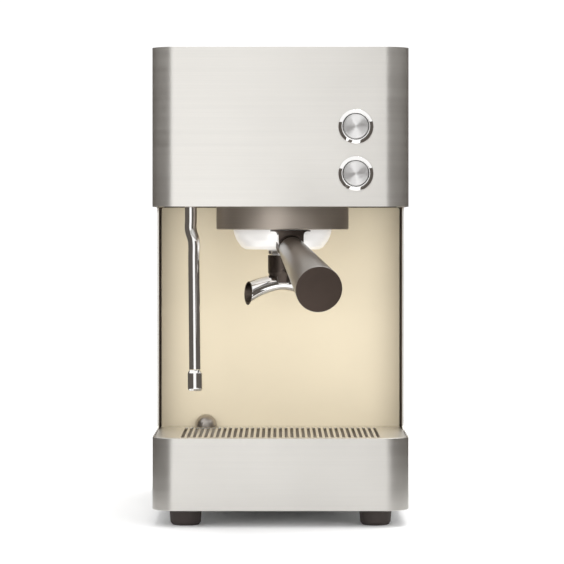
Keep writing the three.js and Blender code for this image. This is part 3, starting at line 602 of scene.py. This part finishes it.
def housing_sheet():
    """The bent sheet, in three bands from bottom to top: 0 is the base, which ends where the tray's
    front begins, 1 is the wall behind the bay's opening, and 2 is the upper part, all round."""
    left = [Vector((-SIDE, y)) for y in side_stops()]
    columns = left[:-1] + front_path(0) + [Vector((SIDE, p.y)) for p in reversed(left[:-1])]
    verts, faces, rows = [], [], []
    for x, y in columns:
        heights = [
            BASE_BOTTOM,
            bay_edge(y, LOWER_BEND, BASE_TOP, 1),
            bay_edge(y, UPPER_BEND, BAY_TOP, -1),
            TOP,
        ]
        rows.append(list(range(len(verts), len(verts) + 4)))
        verts += [(x, y, z) for z in heights]
    for i, (a, b) in enumerate(zip(rows, rows[1:])):
        near = min(columns[i].y, columns[i + 1].y)
        bands = [2]
        if near >= TRAY_BACK:
            bands.append(0)
        if near >= SIDE_CUT - 1e-6:
            bands.append(1)
        for k in bands:
            faces.append([a[k], b[k], b[k + 1], a[k + 1]])
    sheet = add_piece("housing_sheet", verts, faces)
    # Points that no band uses are left over.
    work = bmesh.new()
    work.from_mesh(sheet.data)
    bmesh.ops.delete(work, geom=[v for v in work.verts if not v.link_faces], context="VERTS")
    work.to_mesh(sheet.data)
    work.free()
    thicken(sheet)
    cutters = []
    for button in ("coffee", "steam"):
        middle = centre_of(f"{button}_button_cap")
        hole = cylinder("hole", 11.1, 0, 12, 64)
        cutters.append(aimed(hole, Vector((middle.x, FRONT - 5 * MM, middle.z)), BACKWARDS))
    combine(sheet, *cutters, operation="DIFFERENCE")
    round_edges(sheet, 0.3 * MM)
    mark_inner_painted_shade(sheet)
    return sheet


def outward_at(point):
    """Horizontal direction from inside the housing to its outside, next to a point of its sheet."""
    side = math.copysign(1, point.x)
    if point.y < FRONT + CORNER and abs(point.x) > SIDE - CORNER:
        return (point.xy - Vector((side * (SIDE - CORNER), FRONT + CORNER))).normalized()
    return Vector((side, 0)) if abs(point.x) > SIDE - 3 * MM else Vector((0, -1))


def mark_inner_painted_shade(sheet):
    """Marks the faces that look into the housing, for the second material, which is painted shade."""
    for face in sheet.data.polygons:
        if face.normal.xy.dot(outward_at(face.center)) < -0.5:
            face.material_index = 1


def housing_flange():
    """The sheet's lower edge at the bay, folded inwards."""
    back, outer_inset, inner_inset = SIDE_CUT - LOWER_BEND, 0.15 * MM, 6 * MM
    outline = plan(outer_inset, back) + list(reversed(plan(inner_inset, back)))
    return plate("housing_flange", [outline], BAY_TOP, BAY_TOP + SHEET)


def build_housing():
    # The sheet's inside faces get the painted shade.
    stand_for(housing_sheet(), "housing_wrap", brushed_front, second=inner_painted_shade)
    stand_for(housing_flange(), "housing_wrap", brushed_front, replaces=False)
    build_top()
    build_rear()
    low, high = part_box("splash_panel")
    rim = rectangle((low.x, high.x), (low.z, high.z), 2 * MM)
    hole_height, hole_radius = 71 * MM, 3.2 * MM
    drain_hole = circle((centre_of("drain_outlet").x, hole_height), hole_radius)
    panel = plate("splash_face", [rim, drain_hole], 0, high.y - low.y, 0.35 * MM)
    stand_for(upright(panel, low.y), "splash_panel", cream_paint)
    low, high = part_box("base_plate")
    base = plate("base_pan", [plan(1.8 * MM, high.y)], low.z, high.z)
    stand_for(base, "base_plate", mill_steel)
    # The divider behind the bay's side gaps is painted dark: painted shade.
    carry("divider_plate", inner_painted_shade)
    carry("bay_ceiling", mill_steel)


def build_top():
    low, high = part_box("top_panel")
    lid_low, lid_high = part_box("tank_lid")
    gap = 1 * MM
    half = lid_high.x + gap
    rim = notched_plan(SIDE - high.x, high.y, left=-half, right=half, front=lid_low.y - gap)
    slots = slot_row(count=9, first=FRONT + 50 * MM, pitch=12 * MM, width=4 * MM, reach=45 * MM,
                     corner=1.98 * MM)
    stand_for(plate("cup_shelf", [rim, *slots], low.z, high.z), "top_panel", brushed_top_painted_light)
    build_lid(lid_low, lid_high)


def build_lid(low, high):
    """A plate with a finger hole, whose back edge reaches into a barrel round the hinge pin."""
    hinge = centre_of("lid_hinge_pin")
    half_barrel, back, thickness = 20 * MM, hinge.y - 3.5 * MM, 2 * MM
    outline = filleted([
        (low.x, low.y, 3 * MM), (high.x, low.y, 3 * MM), (high.x, back, 1 * MM),
        (half_barrel, back, 0.5 * MM), (half_barrel, hinge.y, 0),
        (-half_barrel, hinge.y, 0), (-half_barrel, back, 0.5 * MM),
        (low.x, back, 1 * MM)], closed=True)
    finger = circle((0, FRONT + 222 * MM), 11 * MM, 48)
    lid = plate("lid_plate", [outline, finger], high.z - thickness, high.z, 0.4 * MM)
    length = 2 * half_barrel / MM
    barrel = lathe("barrel", [(1.6, 0), (2.2, 0, 0.3), (2.2, length, 0.3), (1.6, length)], 32)
    aimed(barrel, Vector((-half_barrel, hinge.y, hinge.z)), Vector((1, 0, 0)))
    combine(lid, barrel, operation="UNION")
    finish_mesh(lid, FLAT)
    stand_for(lid, "tank_lid", brushed_top_painted_light)
    carry("lid_hinge_pin", mill_steel)


def build_rear():
    low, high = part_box("rear_panel")
    inlet = centre_of("power_inlet")
    half_width, half_height = 13.9 * MM, 10.2 * MM
    holes = [rectangle((inlet.x - half_width, inlet.x + half_width),
                       (inlet.z - half_height, inlet.z + half_height), 1 * MM)]
    holes += slot_row(count=6, first=120 * MM, pitch=14 * MM, width=5 * MM, reach=55 * MM,
                      corner=2.45 * MM)
    for i in range(4):
        screw = centre_of(f"rear_screw_{i + 1}")
        holes.append(circle((screw.x, screw.z), 1.9 * MM))
        build_screw(i + 1, screw)
    panel = plate("rear_sheet", [rectangle((low.x, high.x), (low.z, high.z), 1.5 * MM), *holes],
                  0, high.y - low.y)
    stand_for(upright(panel, low.y), "rear_panel", brushed_front)
    carry("power_inlet", black_plastic, 0.4 * MM)


def build_screw(number, place):
    """A pan-head screw with a cross recess."""
    head = lathe(f"pan_screw_{number}", [
        (0, -8), (1.6, -8, 0.4), (1.6, 0.31), (4, 0.31, 0.2), (4, 1.1, 1.2), (2.4, 2.28, 1),
        (0, 2.28)], 48)
    reach, half_width, floor, over = 2.1 * MM, 0.4 * MM, 1.2 * MM, 4 * MM
    arms = [block("arm", [-x, -y, floor], [x, y, over])
            for x, y in ((reach, half_width), (half_width, reach))]
    combine(head, *arms, operation="DIFFERENCE")
    aimed(head, Vector((place.x, BACK, place.z)), BACKWARDS)
    stand_for(head, f"rear_screw_{number}", mill_steel)


def build_feet():
    for row in ("front", "back"):
        for side in ("left", "right"):
            name = f"foot_{row}_{side}"
            middle, floor = centre_of(name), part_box(name)[0].z
            foot = lathe(f"rubber_{name}", [
                (0, 0.6), (6.5, 0.6, 0.5), (7, 0, 0.4), (9.6, 0, 1.6), (11.3, 2.2, 2),
                (12, 10.6, 0.8), (11.4, 11.7, 0.3), (0, 11.7)], 72)
            moved(foot, Matrix.Translation((middle.x, middle.y, floor)))
            stand_for(foot, name, foot_rubber)


# ---- brewing group and portafilter ----
# The portafilter is drawn about +Z with its handle to the front, then turned to its locked place.
HANDLE_AXIS = Vector((0, -math.cos(HANDLE_DROOP), -math.sin(HANDLE_DROOP)))
HANDLE_ORIGIN = Vector((0, -HANDLE_START, HANDLE_START_Z))
GROUP_AXIS = Matrix.Translation((GROUP.x, GROUP.y, 0))
LOCKED = GROUP_AXIS @ Matrix.Rotation(HANDLE_YAW, 4, "Z")


def build_group():
    cover = lathe("group_can", [
        (39.5, 219, 0.4), (50, 219, 1.1), (50, 237.2), (48.5, 237.2), (48.5, 220.5, 0.6),
        (39.5, 220.5, 0.4)], 160)
    # The cover's darker steel is painted shade.
    stand_for(moved(cover, GROUP_AXIS), "group_cover", dark_steel)
    carry("group_head", chrome)
    carry("group_gasket", foot_rubber)
    carry("shower_screen", mill_steel)


def portafilter_bowl():
    """The bowl with its two lugs, and the neck with webs beside it that takes the handle's stud."""
    bowl = lathe("portafilter_bowl", [
        (5, 198, 0.3), (8, 198, 0.4), (8, 204, 0.8), (27.8, 204, 2.5), (BOWL_FLOOR_RADIUS, 206, 5),
        (34.6, 211, 8), (36.6, 215.6, 9), (BOWL_RADIUS, 219.5, 5), (BOWL_RADIUS, 225, 0.5),
        (36, 226, 0.3), (36, 231, 0.5), (31, 231, 0.5), (31, 212, 3), (27, 207.5, 1.5),
        (5, 207.5, 0.3)], 160)
    neck = lathe("neck", [
        (0, -14), (9.8, -14), (9.6, -1.2, 0.6), (9.2, -0.35, 0.3), (0, -0.35)], 96)
    aimed(neck, HANDLE_ORIGIN, HANDLE_AXIS)
    right = [(9.2, 204, 0.3), (9.6, 217.6, 4.5), (14.5, 217.6, 0.2), (14.5, 220)]
    left = [(-x, z, *radius) for x, z, *radius in reversed(right)]
    outline = filleted(in_mm(right + left), closed=True)
    webs = upright(plate("webs", [outline], 0, 14 * MM, 0.2 * MM), -42 * MM)
    combine(neck, webs, operation="UNION")
    # The neck ends inside the bowl's wall, and stays below the group cover.
    room = block("room", [-20 * MM, -60 * MM, 190 * MM], [20 * MM, -24 * MM, 218.5 * MM])
    combine(neck, room, operation="INTERSECT")
    hollow = cylinder("hollow", BOWL_FLOOR_RADIUS, 190, 240, 96)
    combine(neck, hollow, operation="DIFFERENCE")
    # The group's bayonet ring holds the bowl by two lugs at its rim.
    lugs = block("lugs", [-45 * MM, -11.8 * MM, 226.2 * MM], [45 * MM, 11.8 * MM, 229.4 * MM])
    rim = lathe("rim", [(33, 220), (41.4, 220), (41.4, 235), (33, 235)], 160)
    combine(lugs, rim, operation="INTERSECT")
    combine(bowl, neck, lugs, operation="UNION")
    stud_hole = cylinder("stud_hole", STUD_HOLE, -10.6, 5)
    aimed(stud_hole, HANDLE_ORIGIN, HANDLE_AXIS)
    return combine(bowl, stud_hole, operation="DIFFERENCE")


SPOUT_STEPS = 60


def spout_path(reach):
    """Centre line of the two arms, an arch that steepens towards its ends."""
    path = []
    for k in range(SPOUT_STEPS + 1):
        x = reach * (2 * k / SPOUT_STEPS - 1)
        share = abs(x) / (25 * MM)
        path.append(Vector((x, 0, (179.0 - 7.0 * share ** 1.75) * MM)))
    return path


def arm_radius(share, wall=0.0):
    """Outer radius of the arms at a share of the way from end to end, or less by a wall in mm."""
    return (6.4 - wall + 2.2 * abs(2 * share - 1) ** 2) * MM


def bore_radius(share):
    return arm_radius(share, 1.2)


def double_spout():
    """Two hollow arms on a stem. The insides of the arms and the stem's outside are marked 1, for chrome
    with painted shade and a painted dark reflection.
    """
    arms = sweep("spout_arms", spout_path(32 * MM), arm_radius, 64)
    stem = lathe("stem", [
        (0, 178), (7.5, 178, 1), (9.6, 183.5, 4), (STEM_RADIUS, 186.5, 2.5), (STEM_RADIUS, 200, 0.6),
        (8.3, 200, 0.3), (8.3, 195, 0.3), (0, 195)], 72)
    combine(arms, stem, operation="UNION")
    middle = spout_path(33 * MM)
    combine(arms, sweep("hollow", middle, bore_radius, 48), operation="DIFFERENCE")
    bore = moved(cylinder("bore", 4.6, 0, 18), Matrix.Translation((0, 0, 178 * MM)))
    combine(arms, bore, operation="DIFFERENCE")
    slant, size, arm_end, arm_end_height = math.radians(14), 30 * MM, 26 * MM, 172 * MM
    for side in (-1, 1):
        # Each arm's end is cut off upright and at a slant to the front.
        far = block("far", [0, -size, -size], [size, size, size])
        turn = Matrix.Rotation((0 if side > 0 else math.pi) - side * slant, 4, "Z")
        moved(far, Matrix.Translation((side * arm_end, 0, arm_end_height)) @ turn)
        combine(arms, far, operation="DIFFERENCE")
    round_edges(arms, 0.3 * MM, angle=50, sharp=TURNED)
    arm_top, stem_bottom, stem_top = 181 * MM, 180.5 * MM, 199.6 * MM
    # Marks the arms' insides and the stem's outside for the chrome with painted shade.
    for face in arms.data.polygons:
        place = face.center
        depth, share = min(((place - p).length, i / SPOUT_STEPS) for i, p in enumerate(middle))
        in_arm = depth < bore_radius(share) + 0.4 * MM and place.z < arm_top
        round_stem = place.xy.length < (STEM_RADIUS + 0.1) * MM
        if in_arm or (round_stem and stem_bottom < place.z < stem_top):
            face.material_index = 1
    return arms


def build_portafilter():
    body = portafilter_bowl()
    neck_start, neck_top = (BOWL_RADIUS + 0.06) * MM, 219 * MM
    # The neck and its webs, outside the bowl's wall and below the cover, are marked for the chrome with
    # painted shade and a painted dark reflection.
    for face in body.data.polygons:
        if face.center.xy.length > neck_start and face.center.z < neck_top:
            face.material_index = 1
    stand_for(moved(body, LOCKED), "portafilter_body", satin_chrome, second=chrome_painted_shade)
    length = HANDLE_LENGTH / MM
    grip = lathe("handle_bar", [(0, 0), (9.6, 0, 0.9), (16.5, length, 0.7), (0, length)], 128)
    combine(grip, cylinder("bore", STUD_HOLE, -1, 60.3), operation="DIFFERENCE")
    # The end face is marked for the duller, darker plastic, which is partly painted shade.
    for face in grip.data.polygons:
        if face.center.z > HANDLE_LENGTH - 0.1 * MM:
            face.material_index = 1
    moved(aimed(grip, HANDLE_ORIGIN, HANDLE_AXIS), LOCKED)
    stand_for(grip, "handle_grip", handle_plastic, second=handle_end_matte_painted_shade)
    nut = lathe("lock_ring", [
        (8.3, 200.3, 0.2), (11.6, 200.3, 0.5), (11.6, 203.7, 0.5), (8.3, 203.7, 0.2)], 96)
    stand_for(moved(nut, GROUP_AXIS), "spout_lock_nut", chrome)
    stand_for(moved(double_spout(), LOCKED), "double_spout", chrome, second=chrome_painted_shade)
    carry("handle_stud", mill_steel)
    basket = lathe("basket_cup", [
        (0, 213), (25, 213, 2.5), (29.8, 217, 2), (29.8, 231.3, 0.3), (35.5, 231.3, 0.3),
        (35.5, 232.1, 0.3), (29, 232.1, 0.4), (29, 217.4, 2), (24.6, 213.8, 2), (0, 213.8)], 128)
    stand_for(moved(basket, GROUP_AXIS), "filter_basket", mill_steel)


# ---- push buttons ----
def build_button(name):
    low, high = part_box(f"{name}_button_cap")
    middle = (low + high) / 2
    face = Vector((middle.x, FRONT, middle.z))
    ring = lathe(f"{name}_ring", [
        (9.6, -1.5, 0.3), (9.8, -2.6, 0.3), (10.5, -2.6, 0.6), (12.8, -1.0, 0.8), (13, -0.3, 0.2),
        (10.8, -0.3), (10.8, 20, 0.3), (9.6, 20, 0.3)], 96)
    stand_for(aimed(ring, face, BACKWARDS), f"{name}_button_bezel", chrome)
    cap = lathe(f"{name}_disc", [
        (0, -1.9), (8.1, -2.05, 0.2), (8.7, -2.2, 0.3), (9.2, -1.7, 0.4), (9.2, 7, 0.3), (0, 7)], 96)
    stand_for(aimed(cap, face, BACKWARDS), f"{name}_button_cap", spun_steel)
    carry(f"{name}_button_nut", mill_steel)
    carry(f"{name}_switch", black_plastic, 0.3 * MM)


# ---- steam wand ----
# Where the tube's bend ends and its straight run begins, and where its tip begins.
WAND_BEND = WAND_BALL + Vector((2.4, -2.4, -36.5)) * MM
WAND_END = WAND_BALL + Vector((3.6, -12, -132)) * MM


def build_wand():
    nut = lathe("wand_socket", [
        (10.4, -9.4, 0.3), (11.4, -9.4, 0.6), (12, -8.4, 0.5), (12, 10.5, 0.6), (2.5, 10.5),
        (2.5, 7.9), (6.4, 5.3, 3), (8.3, 0, 6), (7, -4.46, 0.2)], 96)
    stand_for(moved(nut, Matrix.Translation(WAND_BALL)), "wand_nut", chrome)
    ball_radius = 8
    turns = [math.pi * k / 24 for k in range(1, 24)]
    arc = [(ball_radius * math.sin(turn), -ball_radius * math.cos(turn)) for turn in turns]
    ball = lathe("wand_sphere", [(0, -ball_radius), *arc, (0, ball_radius)], 64)
    stand_for(moved(ball, Matrix.Translation(WAND_BALL)), "wand_ball", chrome)
    neck = [(0, 0, -8.5), (0, 0, -12), (0, 0, -20), (0, -0.2, -27.5)]
    route = [WAND_BALL + Vector(offset) * MM for offset in neck] + [WAND_BEND]
    route += [WAND_BEND.lerp(WAND_END, share) for share in (0.15, 0.4, 0.7, 1)]
    path = smooth_path(route, 14)
    length = (path[-1] - path[0]).length

    def radius(share):
        """The tube is thinner for its first 2 mm, next to the ball."""
        return 3.5 * MM if share * length < 2 * MM else 4.55 * MM

    tube = sweep("wand_pipe", path, radius, 48)
    stand_for(tube, "wand_tube", chrome)
    direction = (WAND_END - WAND_BEND).normalized()
    tip = lathe("wand_nozzle", [
        (0, 0), (4.3, 0, 0.2), (4.9, 0.8, 0.6), (5.7, 2.6, 1.2), (5.7, 14, 1.6), (4.4, 15.7, 1.2),
        (0, 15.8)], 72)
    combine(tip, cylinder("drill", 0.8, 10, 20, 24), operation="DIFFERENCE")
    stand_for(aimed(tip, WAND_END + direction * 0.3 * MM, direction), "wand_tip", chrome)


# ---- drip tray ----
def tray_face():
    columns = [Vector((-SIDE, TRAY_BACK)), *front_path(0), Vector((SIDE, TRAY_BACK))]
    verts = [(x, y, z) for x, y in columns for z in (BASE_BOTTOM, BASE_TOP)]
    faces = [[2 * i, 2 * i + 2, 2 * i + 3, 2 * i + 1] for i in range(len(columns) - 1)]
    return round_edges(thicken(add_piece("tray_face", verts, faces)), 0.4 * MM)


def build_tray():
    # The tray front's darker steel is painted shade.
    stand_for(tray_face(), "tray_front", brushed_tray_painted_shade)
    low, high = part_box("drip_grille")
    outlet = centre_of("drain_outlet")
    slot_front, slot_back, half = FRONT + 9 * MM, FRONT + 104 * MM, 10 * MM
    rim = notched_plan(SIDE - high.x, high.y, left=outlet.x - half, right=outlet.x + half,
                       front=slot_back + MM)
    slots = []
    for i in range(SLOT_COUNT):
        x = (i - (SLOT_COUNT - 1) / 2) * SLOT_PITCH
        span = (x - SLOT_WIDTH / 2, x + SLOT_WIDTH / 2)
        slots.append(rectangle(span, (slot_front, slot_back), 0.48 * SLOT_WIDTH))
    grille = plate("slotted_top", [rim, *slots], low.z, high.z, 0.2 * MM)
    # The grille's lighter steel is a painted light reflection.
    stand_for(grille, "drip_grille", brushed_top_painted_light)
    carry("tray_pan", pan_steel, 0.5 * MM)
    stand_for(outlet_dome(outlet), "drain_outlet", dull_chrome)


def outlet_dome(outlet):
    """A dome with a stub behind it, cut off level with the lower end of the CAD part."""
    low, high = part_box("drain_outlet")
    dome = lathe("outlet_dome", [
        (0, 0), (3.4, 0.35, 5), (6.4, 2.5, 6), (7.9, 5.8, 4), (8.2, 9, 0.4), (2.9, 9), (2.9, 16.2, 0.3),
        (0, 16.2)], 72)
    aimed(dome, Vector((outlet.x, low.y, 67 * MM)), BACKWARDS)
    room = Vector((20 * MM, 5 * MM, 0))
    keep = block("keep", Vector((outlet.x, low.y, low.z)) - room,
                 Vector((outlet.x, high.y, 90 * MM)) + room)
    return combine(dome, keep, operation="INTERSECT")


# ---- tank and machinery ----
def build_inside():
    carry("water_tank", tank_plastic, 0.6 * MM)
    for name in ("tank_valve", "tank_seat", "boiler_thermostat"):
        carry(name, black_plastic, 0.3 * MM)
    for name in ("tank_shelf", "pump_bracket", "steam_valve", "brew_valve"):
        carry(name, mill_steel, 0.3 * MM)
    for name in ("boiler", "pump"):
        carry(name, brass, 0.6 * MM)
    for name in ("heating_element", "steam_pipe", "delivery_pipe"):
        carry(name, copper)
    for name in ("drain_hose", "suction_hose"):
        carry(name, silicone)
    carry("control_board", board_lacquer, 0.2 * MM)


# ---- stage ----
def build_floor():
    reach = 30.0
    corners = ((-reach, -reach), (reach, -reach), (reach, reach), (-reach, reach))
    floor = add_piece("floor", [(x, y, TABLE_Z) for x, y in corners], [[0, 1, 2, 3]])
    white = new_material("floor_white", (0.95, 0.95, 0.95), 0.9, Specular_IOR_Level=0.0)[0]
    floor.data.materials.append(white)


def build_screen():
    """A dark studio screen round the sides and back, with a skirt on the floor that comes nearer at
    the sides than in front. Only gloss sees it: it gives the round metal its dark bands, on both
    sides of the bright opening in front, and doesn't shade anything."""
    right, left = math.radians(12), math.radians(28)  # the opening, from straight in front
    radius, height, floor_gap, steps = 1.6, 0.8, 0.002, 64
    skirt_in_front, skirt_at_sides, front_angle = 0.42, 0.2, math.radians(36)
    verts = []
    for k in range(steps + 1):
        angle = -math.pi / 2 + right + (2 * math.pi - right - left) * k / steps
        in_front = math.sin(angle) < -math.cos(front_angle)
        skirt = skirt_in_front if in_front else skirt_at_sides
        for reach, z in ((skirt, floor_gap), (radius, floor_gap), (radius, height)):
            verts.append((reach * math.cos(angle), reach * math.sin(angle), z))
    faces = [[k, k + 3, k + 4, k + 1] for k in range(3 * steps) if k % 3 < 2]
    screen = add_piece("dark_screen", verts, faces)
    material = bpy.data.materials.new("screen_dark")
    material.use_nodes = True
    tree = material.node_tree
    tree.nodes.clear()
    glow = node(tree, "ShaderNodeEmission", {"Color": (0.115, 0.102, 0.091, 1), "Strength": 1.0})
    output = node(tree, "ShaderNodeOutputMaterial")
    tree.links.new(glow.outputs[0], output.inputs["Surface"])
    screen.data.materials.append(material)
    for ray in ("camera", "diffuse", "shadow", "transmission", "volume_scatter"):
        setattr(screen, f"visible_{ray}", False)


def area_light(name, place, target, size, power, glossy=True):
    """A rectangular softbox that the camera doesn't see. Gloss sees it unless glossy is False."""
    lamp = bpy.data.lights.new(name, "AREA")
    lamp.shape = "RECTANGLE"
    lamp.size, lamp.size_y = size
    lamp.energy = power
    holder = bpy.data.objects.new(name, lamp)
    bpy.context.scene.collection.objects.link(holder)
    holder.location = place
    holder.rotation_euler = (Vector(target) - Vector(place)).to_track_quat("-Z", "Y").to_euler()
    holder.visible_glossy = glossy
    holder.visible_camera = False


def build_studio():
    build_floor()
    build_screen()
    world = bpy.data.worlds.new("studio")
    world.use_nodes = True
    background = world.node_tree.nodes["Background"]
    background.inputs["Color"].default_value = (1, 1, 1, 1)
    background.inputs["Strength"].default_value = 1.08
    bpy.context.scene.world = world
    machine_middle, softbox = (0, 0, 0.16), (1.2, 0.6)
    area_light("left_softbox", (-1.0, -1.5, 0.35), machine_middle, softbox, 6, glossy=False)
    area_light("right_softbox", (1.0, -1.5, 0.3), machine_middle, softbox, 6, glossy=False)
    area_light("top_softbox", (0.3, 0.5, 2.0), (0, 0, 0), (1.6, 1.6), 30)
    bpy.context.scene.view_settings.view_transform = "Standard"
    bpy.context.scene.view_settings.look = "None"


def build_camera():
    """Straight in front, about two metres away and a little below the top of the bay. The lens is
    shifted and not tilted, so upright edges stay upright."""
    distance, height = 1.95, 0.2224
    camera = bpy.data.cameras.new("camera")
    camera.sensor_fit = "HORIZONTAL"
    camera.sensor_width = 36
    camera.lens = 169.339
    camera.shift_x, camera.shift_y = 0.00266, -0.101064
    camera.clip_end = 100
    holder = bpy.data.objects.new("camera", camera)
    bpy.context.scene.collection.objects.link(holder)
    holder.location = (0, FRONT - distance, height)
    holder.rotation_euler = (math.pi / 2, 0, 0)
    bpy.context.scene.camera = holder


build_camera()
build_studio()
build_housing()
build_feet()
build_group()
build_portafilter()
build_button("coffee")
build_button("steam")
build_wand()
build_tray()
build_inside()
